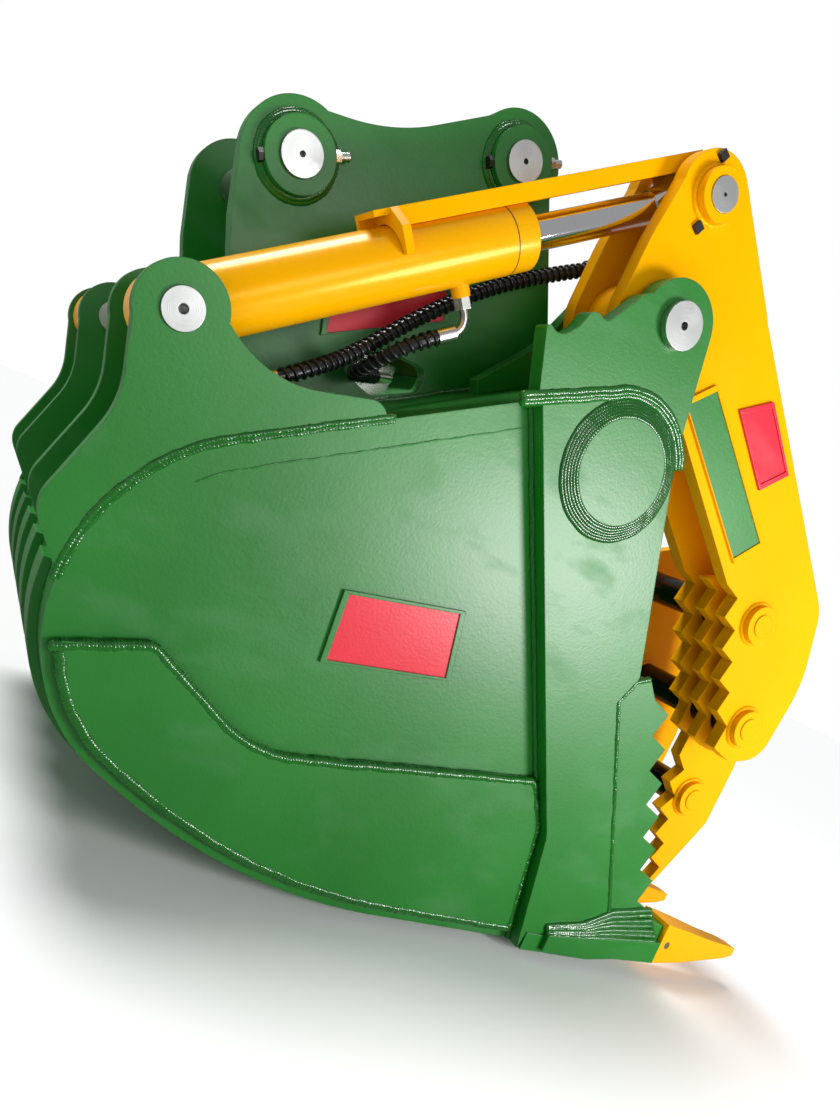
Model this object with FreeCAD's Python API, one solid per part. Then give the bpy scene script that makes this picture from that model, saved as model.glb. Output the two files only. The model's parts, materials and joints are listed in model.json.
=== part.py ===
import FreeCAD, Part
import math
import os
from FreeCAD import Vector

os.makedirs("parts", exist_ok=True)

# Claw bucket for a 13 tonne excavator, in millimetres, lying on its flat underside.
# X points forward to the teeth, Y runs across the bucket with the near side at -Y, Z is up.
# The origin lies on the underside at mid width, straight below the claw pivot.

# bucket plates, measured across the width from the middle
SIDE_OUT = 369.0        # outer face of the side plates
SIDE_T = 16.0
SHELL_T = 14.0
STRIP_T = 12.0          # heel wear strips, which raise the shell off the ground
STRIP_W = 60.0
STRIP_COUNT = 5
STRIP_PITCH = 140.0
STRIP_FRONT = 190.0
STRIP_TOP = 356.0
CHEEK_T = 28.0
WEAR_T = 12.0
WEAR_INSET = 21.0
WEAR_FRONT = 18.0
CUTTER_T = 22.0
CUTTER_INSET = 3.0      # the cutter lies this far in from the face of the cheek
SEAT = 0.2              # clearance of a welded or pressed seat inside one body
RUN = 0.05              # radial running clearance of pins and rods

# bucket section: corner points of the rounded outline with their radii
FLOOR_FRONT = 245.0
HEEL_X = -270.0
HEEL_R = 1000.0
BACK_X = -641.0
BACK_LOW_Z = 203.0
BACK_LOW_R = 240.0
BACK_HIGH_Z = 497.0
BACK_HIGH_R = 260.0

# torque tube across the mouth
TUBE_X = 13.0
TUBE_Z = 764.0
TUBE_R = 101.0
TUBE_WALL = 12.0
TUBE_CAP_R = 78.5
TUBE_CAP_PROUD = 9.0

# claw pivot and cylinder pins
PIVOT_X = 0.0
PIVOT_Z = 987.0
BASE_X = -629.0
BASE_Z = 682.0
ROD_PIN_X = -10.0
ROD_PIN_Z = 1186.0
PIN_R = 25.0
PIN_HEAD_R = 34.5
PIN_HEAD_T = 12.0
PIN_BORE_R = 6.0
LOBE_R = 66.0
INNER_LUG_NEAR = 228.0
INNER_LUG_T = 25.0
INNER_LUG_R = 62.0

# cylinder ears
EAR_T = 20.0
EAR_R = 55.0
EAR_IN_OUT = 191.0      # outboard face of the inner ears
EAR_BOSS_R = 37.0

# hanger with its two hitch pins
HANGER_OUT = 164.5
HANGER_T = 25.0
HITCH_R = 30.0
HITCH_REAR_X = -535.0
HITCH_REAR_Z = 960.0
HITCH_FRONT_X = -228.0
HITCH_FRONT_Z = 1138.0
HITCH_LOBE_R = 78.0
HITCH_BOSS_R = 51.0
HITCH_BOSS_L = 20.0
HITCH_PROUD = 6.0
EXTRACT_R = 4.2
EXTRACT_L = 30.0

# cutting edge, adapters and teeth
LIP_FRONT = 520.0
LIP_T = 30.0
LIP_BEVEL = 120.0       # how far back the underside of the lip is bevelled
LIP_NOSE = 14.0
LIP_PROUD = 2.0
TOOTH_COUNT = 5
TOOTH_PITCH = 187.5
ADAPTER_W = 66.0        # the strap, which wraps the end of the lip at the corners
ADAPTER_BODY_W = 44.0   # the narrower body on it
ADAPTER_REAR = 285.0
STRAP_REAR = (19.0, 48.0)
STRAP_FRONT = (30.0, 70.0)
ADAPTER_TOP = 102.0
NOSE_LENGTH = 78.0
TOOTH_TIP_X = 796.0
NOSE_BACK = 34.0
NOSE_FIT = 0.3
TOOTH_PIN_R = 7.0
TOOTH_PIN_BACK = 22.0
TOOTH_PIN_Z = 66.0
TOOTH_PIN_HALF = 28.0

# claw
ARM_OUT = 362.0         # outer face of the outer arm plates
ARM_T = 24.0
TINE_OUT = 262.0        # outboard face of the long tines
MIDDLE_TINE_Y = 86.0
SAW_PLATE_OUT = 314.0   # outboard face of the short plates between arm and tine
SAW_PLATE_T = 22.0
ARM_TOP_R = 64.0
ARM_HUB_R = 86.0
HUB_R = 62.0
HUB_IN = 232.0
HUB_OUT = 366.0
CROSS_R = 30.0
CROSS_WALL = 7.0
CROSS_BOSS_R = 35.0
CROSS_BOSS_T = 14.0
CROSS_TUBES = ((472.0, 663.0, ARM_OUT), (560.0, 485.0, ARM_OUT), (638.0, 308.0, TINE_OUT))
TOP_BOSS_R = 39.0
TOP_BOSS_T = 17.0
SAW_PITCH = 57.0
SAW_DEPTH = 27.0
CUTTER_PITCH = 63.0
CUTTER_DEPTH = 31.0

# cylinders
CYL_Y = 300.0
BARREL_R = 47.0
BARREL_BORE_R = 38.0
BARREL_END = 500.0
BARREL_START = 40.0
END_CAP_L = 14.0
BASE_EYE_R = 48.0
BASE_EYE_W = 84.0
GLAND_L = 34.0
ROD_R = 24.5
PISTON_L = 44.0
PISTON_AT = 402.0
ROD_EYE_R = 53.0
ROD_EYE_BORE_R = 39.5   # wide bore: the linkage is opened at this pivot
ROD_EYE_W = 66.0
GUARD_TOP = 66.0
GUARD_DEEP = 24.0
GUARD_W = 60.0
GUARD_T = 8.0
GUARD_BACK = 270.0
GUARD_PAST = 12.0       # how far the guard runs past the rod pin
SADDLE_GAP = 1.5
SADDLE_AT = 293.0
SADDLE_L = 12.0
SADDLE_W = 112.0
SADDLE_LOW = 8.0
PORT_AT = (391.0, 60.0)
PORT_R = 13.0
PORT_L = 14.0

# how far each piece of the linkage is from its neighbours
SIDE_GAP = 2.0

# hydraulic lines: steel elbows, ferrules, hoses and what they run to
PORT_HEX = 22.0
PORT_HEX_L = 16.0
ELBOW_R = 6.0
ELBOW_LEG = 8.0
ELBOW_BEND = 20.0
FERRULE_R = 11.0
FERRULE_L = 28.0
HOSE_LEAD = 44.0
HOSE_R = 9.0
MANIFOLD_X = -270.0
MANIFOLD_Z = 764.0
MANIFOLD_HALF = 90.0
MANIFOLD_W = 60.0
MANIFOLD_H = 66.0
NIPPLE_R = 9.0
NIPPLE_L = 14.0
COUPLER_R = 14.0
COUPLER_L = 58.0
CLIP_W = 30.0
CLIP_UP = 30.0


def save(name, *shapes):
    shape = shapes[0] if len(shapes) == 1 else Part.makeCompound(list(shapes))
    shape.exportStep("parts/" + name + ".step")


def mirrored(shape):
    return shape.mirror(Vector(0, 0, 0), Vector(0, 1, 0))


# the near solid and its mirror image in one node
def save_both(name, shape):
    save(name, shape, mirrored(shape))


def save_pair(name, shape):
    save(name + "_near", shape)
    save(name + "_far", mirrored(shape))


# closed wire in the XZ plane through corners (x, z) or (x, z, radius)
def outline(corners):
    points = [Vector(corner[0], 0, corner[1]) for corner in corners]
    radii = [corner[2] if len(corner) > 2 else 0 for corner in corners]
    firsts, lasts, arcs = [], [], []
    for i, here in enumerate(points):
        back = (points[i - 1] - here).normalize()
        onward = (points[(i + 1) % len(points)] - here).normalize()
        half = back.getAngle(onward) / 2
        reach = radii[i] / math.tan(half)
        firsts.append(here + back * reach)
        lasts.append(here + onward * reach)
        inward = (back + onward).normalize() if radii[i] else Vector(0, 0, 0)
        arcs.append(here + inward * (radii[i] / math.sin(half) - radii[i]))
    edges = []
    for i in range(len(points)):
        if radii[i]:
            edges.append(Part.Arc(firsts[i], arcs[i], lasts[i]).toShape())
        nxt = (i + 1) % len(points)
        if (firsts[nxt] - lasts[i]).Length > 1e-6:
            edges.append(Part.LineSegment(lasts[i], firsts[nxt]).toShape())
    return Part.Wire(edges)


# flat plate in the XZ plane between two values of Y
def plate(corners, low, high):
    face = Part.Face(outline(corners))
    face.translate(Vector(0, low, 0))
    return face.extrude(Vector(0, high - low, 0))


def disc(x, z, radius, low, high):
    return Part.makeCylinder(radius, high - low, Vector(x, low, z), Vector(0, 1, 0))


def ring(x, z, radius, bore, low, high):
    return disc(x, z, radius, low, high).cut(disc(x, z, bore, low, high))


# inner side of an open run of corners, each offset by a thickness to its left or right
def offset_run(corners, thickness):
    moved = []
    for i, corner in enumerate(corners):
        here = Vector(corner[0], 0, corner[1])
        normals = []
        for a, b in ((i - 1, i), (i, i + 1)):
            if a >= 0 and b < len(corners):
                run = Vector(corners[b][0] - corners[a][0], 0, corners[b][1] - corners[a][1])
                run.normalize()
                normals.append(Vector(run.z, 0, -run.x))
        middle = normals[0] if len(normals) == 1 else (normals[0] + normals[1]).normalize()
        stretch = thickness / middle.dot(normals[0])
        there = here + middle * stretch
        radius = corner[2] - thickness if len(corner) > 2 else 0
        moved.append((there.x, there.z, radius))
    return moved


# sawtooth points along a run of points, tips on the run and notches to its left
def saw(path, pitch, depth):
    points = []
    for (x0, z0), (x1, z1) in zip(path, path[1:]):
        run = Vector(x1 - x0, 0, z1 - z0)
        count = max(1, round(run.Length / pitch))
        run.normalize()
        side = Vector(run.z, 0, -run.x)
        step = math.hypot(x1 - x0, z1 - z0) / count
        for i in range(count):
            tip = Vector(x0, 0, z0) + run * (i * step)
            notch = tip + run * (step / 2) + side * depth
            points += [(tip.x, tip.z), (notch.x, notch.z)]
    points.append(path[-1])
    return points


# the roof rises from the top of the back so that it lies on the torque tube
ROOF_OFF = TUBE_R + SHELL_T + SEAT
ROOF_REACH = math.hypot(TUBE_X - BACK_X, TUBE_Z - BACK_HIGH_Z)
ROOF_RISE = math.atan2(TUBE_Z - BACK_HIGH_Z, TUBE_X - BACK_X) + math.asin(ROOF_OFF / ROOF_REACH)
ROOF_END = TUBE_X - ROOF_OFF * math.sin(ROOF_RISE)
LIP_TOP = STRIP_T + LIP_T
ROOT_X = LIP_FRONT + NOSE_BACK
PAST = 700.0            # a reach well beyond the bucket section, for cutting shapes


def roof_z(x):
    return BACK_HIGH_Z + (x - BACK_X) * math.tan(ROOF_RISE)


# section of the bucket from the front of the floor round the heel to the end of the roof
def bucket_run():
    return [
        (FLOOR_FRONT, STRIP_T),
        (HEEL_X, STRIP_T, HEEL_R),
        (BACK_X, BACK_LOW_Z, BACK_LOW_R),
        (BACK_X, BACK_HIGH_Z, BACK_HIGH_R),
        (ROOF_END, roof_z(ROOF_END)),
    ]


# seam between the side plate and the cheek
SEAM = ((-158.0, roof_z(-158.0)), (196.0, 205.0, 70.0), (240.0, STRIP_T))


def wrapper_shell():
    run = bucket_run()
    inner = offset_run(run, SHELL_T)
    half = SIDE_OUT - SIDE_T
    return plate(run + inner[::-1], -half, half)


def side_outline():
    return [(SEAM[2][0], STRIP_T)] + bucket_run()[1:4] + [SEAM[0], SEAM[1]]


# the side plate runs on under the cheek to the mouth and closes the end of the torque tube
def side_plate():
    low, high = -SIDE_OUT, -SIDE_OUT + SIDE_T
    front = plate(cheek_outline(), low, high).common(below_lobe(low, high))
    front = front.cut(adapter_profile(low, high, SEAT))
    return plate(side_outline(), low, high).fuse(front).removeSplitter()


# wear plate on the lower side: its lower edge follows the heel a little way in from it, its
# upper edge is wavy
def side_wear_plate():
    low, high = -SIDE_OUT - WEAR_T, -SIDE_OUT
    lower = offset_run(bucket_run(), WEAR_INSET) + [(FLOOR_FRONT, BACK_HIGH_Z)]
    front = SEAM[2][0] - WEAR_FRONT
    upper = [(-PAST, 262), (-508, 308, 16), (-330, 206, 190), (138, 280, 10), (186, 212, 60),
             (front, STRIP_T + WEAR_INSET), (front, 0), (-PAST, 0)]
    return plate(lower, low, high).common(plate(upper, low, high))


# cheek and lobe are cut from one outline, parted by an arc round the torque tube
def cheek_outline():
    return [
        (SEAM[0][0] - 6, roof_z(SEAM[0][0]) - 4), (-206, 892, 5), (-176, 878, 22), (-155, 906, 14),
        (-142, 944, 14), (-118, 928, 14), (-66, 1012, 30), (0, PIVOT_Z), (64, 1004),
        (103, 822, 90), (232, 497, 12), CUTTER_TOP, CUTTER_FOOT, (CUTTER_FOOT[0], LIP_TOP + SEAT),
        (FLOOR_FRONT, LIP_TOP + SEAT), SEAM[2], SEAM[1], SEAM[0],
    ]


CUTTER_TOP = (213.0, 448.0)
CUTTER_FOOT = (403.0, 108.0)


# everything under the roof line and inside an arc about the torque tube
def below_lobe(low, high):
    part_r = TUBE_R + SHELL_T
    along_roof = Vector(math.cos(ROOF_RISE), 0, math.sin(ROOF_RISE))
    start = Vector(TUBE_X - part_r * along_roof.z, 0, TUBE_Z + part_r * along_roof.x)
    left = start - along_roof * PAST
    under = [(start.x, start.z), (left.x, left.z), (left.x, -PAST), (PAST, -PAST),
             (PAST, TUBE_Z + PAST / 2), (TUBE_X, TUBE_Z)]
    return plate(under, low, high).fuse(disc(TUBE_X, TUBE_Z, part_r, low, high))


def cheek_and_lobe():
    low, high = -SIDE_OUT - CHEEK_T, -SIDE_OUT
    whole = plate(cheek_outline(), low, high).fuse(disc(PIVOT_X, PIVOT_Z, LOBE_R, low, high))
    below = below_lobe(low, high)
    lobe = whole.cut(below).cut(disc(PIVOT_X, PIVOT_Z, PIN_R + RUN, low, high))
    cheek = whole.common(below).cut(adapter_profile(low, high, SEAT))
    return cheek.removeSplitter(), lobe.removeSplitter()


# serrated plate welded to the front edge of the cheek
def side_cutter():
    tips = saw([(332.0, 459.0), (506.0, 118.0)], CUTTER_PITCH, CUTTER_DEPTH)
    corners = [CUTTER_TOP, (236, 496, 16), (262, 500), (288, 474)] + tips
    corners += [(498, LIP_TOP + SEAT), (CUTTER_FOOT[0], LIP_TOP + SEAT), CUTTER_FOOT]
    low = -SIDE_OUT - CHEEK_T + CUTTER_INSET
    high = low + CUTTER_T
    return plate(corners, low, high).cut(adapter_profile(low, high, SEAT))


# inner lug of the claw pivot, standing on the torque tube and the roof
def inner_pivot_lug():
    low, high = -INNER_LUG_NEAR, -INNER_LUG_NEAR + INNER_LUG_T
    corners = [(-62, 990), (-96, 905, 60), (-170, 812), (-120, 700), (60, 700), (90, 850, 60),
               (62, 980)]
    lug = plate(corners, low, high).fuse(disc(PIVOT_X, PIVOT_Z, INNER_LUG_R, low, high))
    lug = lug.cut(disc(PIVOT_X, PIVOT_Z, PIN_R + RUN, low, high))
    lug = lug.cut(disc(TUBE_X, TUBE_Z, TUBE_R + SEAT, low, high))
    under = [(-300, roof_z(-300) + SEAT), (ROOF_END, roof_z(ROOF_END) + SEAT),
             (TUBE_X, TUBE_Z), (TUBE_X, 300), (-300, 300)]
    return lug.cut(plate(under, low, high)).removeSplitter()


def torque_tube():
    half = SIDE_OUT - SIDE_T
    tube = ring(TUBE_X, TUBE_Z, TUBE_R, TUBE_R - TUBE_WALL, -half, half)
    caps = []
    for side in (-1, 1):
        face = side * (SIDE_OUT + CHEEK_T)
        ends = sorted((face, face + side * TUBE_CAP_PROUD))
        caps.append(disc(TUBE_X, TUBE_Z, TUBE_CAP_R, *ends))
    return [tube] + caps


def cylinder_ear(outboard, thickness, boss_to):
    low, high = -outboard, -outboard + thickness
    corners = [
        (BASE_X - EAR_R, BASE_Z), (-650, 560, 120), (-694, 420, 45), (-640, 350), (-400, 480),
        (-344, 640), (-344, 702, 24), (-512, 650, 150), (BASE_X + EAR_R, BASE_Z + 10),
    ]
    ear = plate(corners, low, high).fuse(disc(BASE_X, BASE_Z, EAR_R, low, high))
    ear = ear.cut(plate(side_outline(), low, high))
    if boss_to:
        ear = ear.fuse(disc(BASE_X, BASE_Z, EAR_BOSS_R, -boss_to, low))
    return ear.cut(disc(BASE_X, BASE_Z, PIN_R + RUN, -boss_to - 400, high)).removeSplitter()


def hanger_plate():
    low, high = -HANGER_OUT, -HANGER_OUT + HANGER_T
    foot = -482.0
    front = 6.0
    corners = [
        (HITCH_REAR_X - 77, 945), (-585, 850), (foot, roof_z(foot) + SEAT),
        (ROOF_END, roof_z(ROOF_END) + SEAT), (TUBE_X, TUBE_Z), (front, 850), (-152, 1128),
        (HITCH_FRONT_X - 30, 1208), (-425, 1065, 330), (HITCH_REAR_X + 12, 1036),
    ]
    body = plate(corners, low, high)
    for x, z in ((HITCH_REAR_X, HITCH_REAR_Z), (HITCH_FRONT_X, HITCH_FRONT_Z)):
        body = body.fuse(disc(x, z, HITCH_LOBE_R, low, high))
    for x, z in ((HITCH_REAR_X, HITCH_REAR_Z), (HITCH_FRONT_X, HITCH_FRONT_Z)):
        body = body.cut(disc(x, z, HITCH_R + RUN, low, high))
    body = body.cut(disc(TUBE_X, TUBE_Z, TUBE_R + SEAT, low, high))
    slot = [(-350, 735, 14), (-352, 757, 14), (-300, 795, 18), (-222, 800, 18), (-222, 762, 18),
            (-294, 722, 18)]
    return body.cut(plate(slot, low, high)).removeSplitter()


def hitch_bosses():
    rings = []
    for x, z in ((HITCH_REAR_X, HITCH_REAR_Z), (HITCH_FRONT_X, HITCH_FRONT_Z)):
        boss = ring(x, z, HITCH_BOSS_R, HITCH_R + RUN, -HANGER_OUT - HITCH_BOSS_L, -HANGER_OUT)
        rings += [boss, mirrored(boss)]
    return rings


def hitch_pin(x, z):
    end = HANGER_OUT + HITCH_BOSS_L + HITCH_PROUD
    pin = disc(x, z, HITCH_R, -end, end)
    for side in (-1, 1):
        ends = sorted((side * end, side * (end - EXTRACT_L)))
        pin = pin.cut(disc(x, z, EXTRACT_R, *ends))
    return pin


def hex_head(across, length, base, axis):
    radius = across / math.sqrt(3)
    corners = [Vector(radius * math.cos(a), radius * math.sin(a), 0)
               for a in (math.radians(60 * i) for i in range(6))]
    face = Part.Face(Part.makePolygon(corners + corners[:1]))
    head = face.extrude(Vector(0, 0, length))
    head.Placement = FreeCAD.Placement(base, FreeCAD.Rotation(Vector(0, 0, 1), axis))
    return head


# spreader plate and gussets between the two hanger plates
def hanger_braces():
    half = HANGER_OUT - HANGER_T - SEAT
    base = roof_z(-110) + SEAT
    spreader = plate([(-215, 850), (-118, 905), (-103, 880), (-200, 825)], -half, half)
    rear = plate([(-480, roof_z(-480) + SEAT), (-466, roof_z(-466) + SEAT), (-520, 740),
                  (-534, 740)], -half, half)
    web = plate([(-180, roof_z(-180) + SEAT), (-160, roof_z(-160) + SEAT), (-160, base - 12),
                 (-180, base - 22)], -half, half)
    return [spreader, rear, web]


# lip bevelled underneath, or with a clearance the room the adapters leave for it
def cutting_edge(clear):
    rear = FLOOR_FRONT + SEAT
    low, high, front = STRIP_T - clear, LIP_TOP + clear, LIP_FRONT + clear
    corners = [(rear, low), (LIP_FRONT - LIP_BEVEL, low), (front, LIP_TOP - LIP_NOSE - clear),
               (front, high), (rear, high)]
    half = SIDE_OUT + CHEEK_T + LIP_PROUD + clear
    return plate(corners, -half, half)


def tooth_places():
    middle = (TOOTH_COUNT - 1) / 2
    return [(i - middle) * TOOTH_PITCH for i in range(TOOTH_COUNT)]


# side of the adapter strap and of the body that stands on it
def strap(low, high, clear):
    rear = ADAPTER_REAR - clear
    return plate([(rear, STRAP_REAR[0]), (ROOT_X, STRAP_FRONT[0]), (ROOT_X, STRAP_FRONT[1] + clear),
                  (rear, STRAP_REAR[1] + clear)], low, high)


def adapter_body(low, high, clear):
    rear = ADAPTER_REAR + 15 - clear
    return plate([(rear, STRAP_FRONT[0]), (ROOT_X, STRAP_FRONT[0]), (ROOT_X, ADAPTER_TOP - 4 + clear),
                  (LIP_FRONT - 10, ADAPTER_TOP + clear, 30), (ADAPTER_REAR + 105, 73 + clear, 40),
                  (rear, STRAP_REAR[1] + 2 + clear)], low, high)


def adapter_profile(low, high, clear):
    return strap(low, high, clear).fuse(adapter_body(low, high, clear))


# weld-on adapter flush with the lip, with a tapered nose in front of it
def adapter(y):
    body = strap(y - ADAPTER_W / 2, y + ADAPTER_W / 2, 0)
    body = body.fuse(adapter_body(y - ADAPTER_BODY_W / 2, y + ADAPTER_BODY_W / 2, 0))
    body = body.cut(cutting_edge(SEAT)).fuse(tapered(nose_sections(0), y))
    return body.cut(pin_hole(y)).removeSplitter()


# nose of the adapter, or with a clearance the pocket of the tooth that goes over it
def nose_sections(clear):
    return [(ROOT_X, (34 - clear, 98 + clear), 21 + clear),
            (ROOT_X + NOSE_LENGTH + clear, (50 - clear, 76 + clear), 12 + clear)]


TOOTH_PIN_X = ROOT_X + TOOTH_PIN_BACK


def pin_hole(y):
    return disc(TOOTH_PIN_X, TOOTH_PIN_Z, TOOTH_PIN_R + SEAT, y - ADAPTER_W, y + ADAPTER_W)


# flat faced body through upright rectangles (x, (low z, high z), half width)
def tapered(sections, y):
    rings = []
    for x, span, half in sections:
        rings.append([Vector(x, y - half, span[0]), Vector(x, y + half, span[0]),
                      Vector(x, y + half, span[1]), Vector(x, y - half, span[1])])
    loops = [rings[0][::-1], rings[-1]]
    for one, two in zip(rings, rings[1:]):
        for i in range(4):
            j = (i + 1) % 4
            loops.append([one[i], one[j], two[j], two[i]])
    faces = [Part.Face(Part.makePolygon(loop + loop[:1])) for loop in loops]
    return Part.makeSolid(Part.makeShell(faces))


# tooth tip: a hollow wedge over the adapter nose, drawn out to a blunt point
def tooth(y):
    back = ROOT_X + SIDE_GAP
    sections = (
        (back, (29, 106), 31), (back + 70, (35, 98), 27), (back + 140, (45, 88), 22),
        (TOOTH_TIP_X - 30, (55, 81), 17), (TOOTH_TIP_X, (61, 76), 12),
    )
    body = tapered(sections, y)
    return body.cut(tapered(nose_sections(NOSE_FIT), y)).cut(pin_hole(y))


def tooth_pin(y):
    return disc(TOOTH_PIN_X, TOOTH_PIN_Z, TOOTH_PIN_R, y - TOOTH_PIN_HALF, y + TOOTH_PIN_HALF)


# wear strips under the floor and round the heel
def heel_strips():
    inner = [(STRIP_FRONT, STRIP_T)] + bucket_run()[1:3] + [(BACK_X, STRIP_TOP)]
    corners = inner + offset_run(inner, -STRIP_T)[::-1]
    middle = (STRIP_COUNT - 1) / 2
    places = [(i - middle) * STRIP_PITCH for i in range(STRIP_COUNT)]
    return [plate(corners, y - STRIP_W / 2, y + STRIP_W / 2) for y in places]


def base_pin():
    end = SIDE_OUT + 4
    inner = EAR_IN_OUT - EAR_T - 4
    pin = disc(BASE_X, BASE_Z, PIN_R, -end, -inner)
    return pin.cut(disc(BASE_X, BASE_Z, PIN_BORE_R, -end, -end + 40))


def pivot_pin():
    face = SIDE_OUT + CHEEK_T + SEAT
    inner = INNER_LUG_NEAR - INNER_LUG_T - 5
    pin = disc(PIVOT_X, PIVOT_Z, PIN_R, -face, -inner)
    head = disc(PIVOT_X, PIVOT_Z, PIN_HEAD_R, -face - PIN_HEAD_T, -face)
    return pin.fuse(head).cut(disc(PIVOT_X, PIVOT_Z, PIN_BORE_R, -face - PIN_HEAD_T, -face + 20))


# back edge shared by the outer arm plates and the long tines
ARM_BACK = [(618, 736, 90), (190, 1090), (183, 1098), (38, 1229)]
ARM_FRONT = [(-73, 1180), (-84, 1080, 200), (-86, PIVOT_Z), (-40, 908), (112, 884, 70)]
SAW_TOP = (362.0, 700.0)
ARM_SAW = [SAW_TOP, (478.0, 494.0), (514.0, 430.0)]
ARM_FOOT = [(568, 415, 40), (642, 440, 60)]


def arm_holes(body, low, high):
    body = body.cut(disc(PIVOT_X, PIVOT_Z, HUB_R + SEAT, low, high))
    body = body.cut(disc(ROD_PIN_X, ROD_PIN_Z, PIN_R + SEAT, low, high))
    for x, z, reach in CROSS_TUBES:
        body = body.cut(disc(x, z, CROSS_R + SEAT, low, high))
    return body


def arm_lobes(low, high):
    return disc(PIVOT_X, PIVOT_Z, ARM_HUB_R, low, high).fuse(
        disc(ROD_PIN_X, ROD_PIN_Z, ARM_TOP_R, low, high))


# outer arm plate, from the rod pin past the hub to the second cross tube
def claw_arm():
    low, high = -ARM_OUT, -ARM_OUT + ARM_T
    teeth = saw(ARM_SAW, SAW_PITCH, -SAW_DEPTH)
    corners = ARM_FRONT + teeth + ARM_FOOT + [(662, 600, 200)] + ARM_BACK
    body = plate(corners, low, high).fuse(arm_lobes(low, high))
    boss = disc(ROD_PIN_X, ROD_PIN_Z, TOP_BOSS_R, low - TOP_BOSS_T, low)
    body = body.fuse(boss)
    return arm_holes(body, low - TOP_BOSS_T, high).removeSplitter()


TINE_SAW = ((483.0, 490.0), (562.0, 380.0), (578.0, 268.0), (636.0, 118.0))
TINE_BACK = [(648, 112), (722, 265, 40), (726, 400, 60), (662, 600, 200)]


def claw_tine(low, high):
    teeth = saw((SAW_TOP,) + TINE_SAW, SAW_PITCH, -SAW_DEPTH)
    body = plate(ARM_FRONT + teeth + TINE_BACK + ARM_BACK, low, high).fuse(arm_lobes(low, high))
    boss = disc(ROD_PIN_X, ROD_PIN_Z, TOP_BOSS_R, high, high + 10)
    body = body.fuse(boss)
    return arm_holes(body, low, high + 10).removeSplitter()


# short tine carried by the cross tubes alone
def middle_tine(low, high):
    teeth = saw(((388.0, 660.0),) + TINE_SAW, SAW_PITCH, -SAW_DEPTH)
    corners = [(400, 706, 24)] + teeth + TINE_BACK[:-1] + [(662, 600, 200), (600, 736, 80),
                                                         (500, 756, 50)]
    return arm_holes(plate(corners, low, high), low, high).removeSplitter()


# short serrated plate between the outer arm and the long tine, on the two upper cross tubes
def saw_plate():
    low, high = -SAW_PLATE_OUT, -SAW_PLATE_OUT + SAW_PLATE_T
    corners = [(410, 716, 24)] + saw(ARM_SAW, SAW_PITCH, -SAW_DEPTH)
    corners += ARM_FOOT + [(655, 590, 150), (600, 736, 80), (500, 756, 50)]
    return arm_holes(plate(corners, low, high), low, high).removeSplitter()


def cross_tubes():
    return [ring(x, z, CROSS_R, CROSS_R - CROSS_WALL, -reach, reach) for x, z, reach in CROSS_TUBES]


def cross_bosses():
    bosses = []
    for x, z, reach in CROSS_TUBES:
        boss = disc(x, z, CROSS_BOSS_R, -reach - CROSS_BOSS_T, -reach)
        bosses += [boss, mirrored(boss)]
    return bosses


def hub():
    return ring(PIVOT_X, PIVOT_Z, HUB_R, PIN_R + RUN, -HUB_OUT, -HUB_IN)


def rod_pin():
    outer = ARM_OUT + TOP_BOSS_T + 2
    inner = TINE_OUT - ARM_T - 12
    pin = disc(ROD_PIN_X, ROD_PIN_Z, PIN_R, -outer, -inner)
    return pin.cut(disc(ROD_PIN_X, ROD_PIN_Z, 3, -outer, -outer + 20))


# the cylinder is drawn along +X from its base pin and then turned into place
CYL_LENGTH = math.hypot(ROD_PIN_X - BASE_X, ROD_PIN_Z - BASE_Z)
CYL_TILT = math.degrees(math.atan2(ROD_PIN_Z - BASE_Z, ROD_PIN_X - BASE_X))


def placed(shape):
    turned = shape.copy()
    turned.rotate(Vector(0, 0, 0), Vector(0, 1, 0), -CYL_TILT)
    turned.translate(Vector(BASE_X, -CYL_Y, BASE_Z))
    return turned


def placed_point(point):
    turned = FreeCAD.Rotation(Vector(0, 1, 0), -CYL_TILT).multVec(point)
    return turned + Vector(BASE_X, -CYL_Y, BASE_Z)


def along(radius, start, end):
    return Part.makeCylinder(radius, end - start, Vector(start, 0, 0), Vector(1, 0, 0))


def barrel():
    half = BASE_EYE_W / 2
    body = along(BARREL_R, BARREL_START, BARREL_END - GLAND_L)
    eye = disc(0, 0, BASE_EYE_R, -half, half)
    body = body.fuse(eye)
    for at in PORT_AT:
        boss = Part.makeCylinder(PORT_R, BARREL_R + PORT_L, Vector(at, 0, 0), Vector(0, 0, -1))
        body = body.fuse(boss)
    body = body.cut(along(BARREL_BORE_R, BARREL_START + END_CAP_L, BARREL_END))
    body = body.cut(disc(0, 0, PIN_R + RUN, -half, half))
    for at in PORT_AT:
        hole = Part.makeCylinder(5, BARREL_R + PORT_L, Vector(at, 0, 0), Vector(0, 0, -1))
        body = body.cut(hole)
    return body.removeSplitter()


def gland():
    flange = along(BARREL_R, BARREL_END - GLAND_L + SEAT, BARREL_END)
    spigot = along(BARREL_BORE_R - SEAT, BARREL_END - 2 * GLAND_L, BARREL_END - GLAND_L + SEAT)
    return flange.fuse(spigot).cut(along(ROD_R + RUN, 0, BARREL_END + 1)).removeSplitter()


def piston():
    return along(BARREL_BORE_R - RUN, PISTON_AT - PISTON_L, PISTON_AT)


def rod():
    half = ROD_EYE_W / 2
    body = along(ROD_R, PISTON_AT, CYL_LENGTH - ROD_EYE_BORE_R - 4)
    body = body.fuse(disc(CYL_LENGTH, 0, ROD_EYE_R, -half, half))
    neck = Part.makeCone(ROD_R + 2, ROD_R + 8, 26, Vector(CYL_LENGTH - ROD_EYE_R - 22, 0, 0),
                         Vector(1, 0, 0))
    body = body.fuse(neck)
    return body.cut(disc(CYL_LENGTH, 0, ROD_EYE_BORE_R, -half, half)).removeSplitter()


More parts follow.
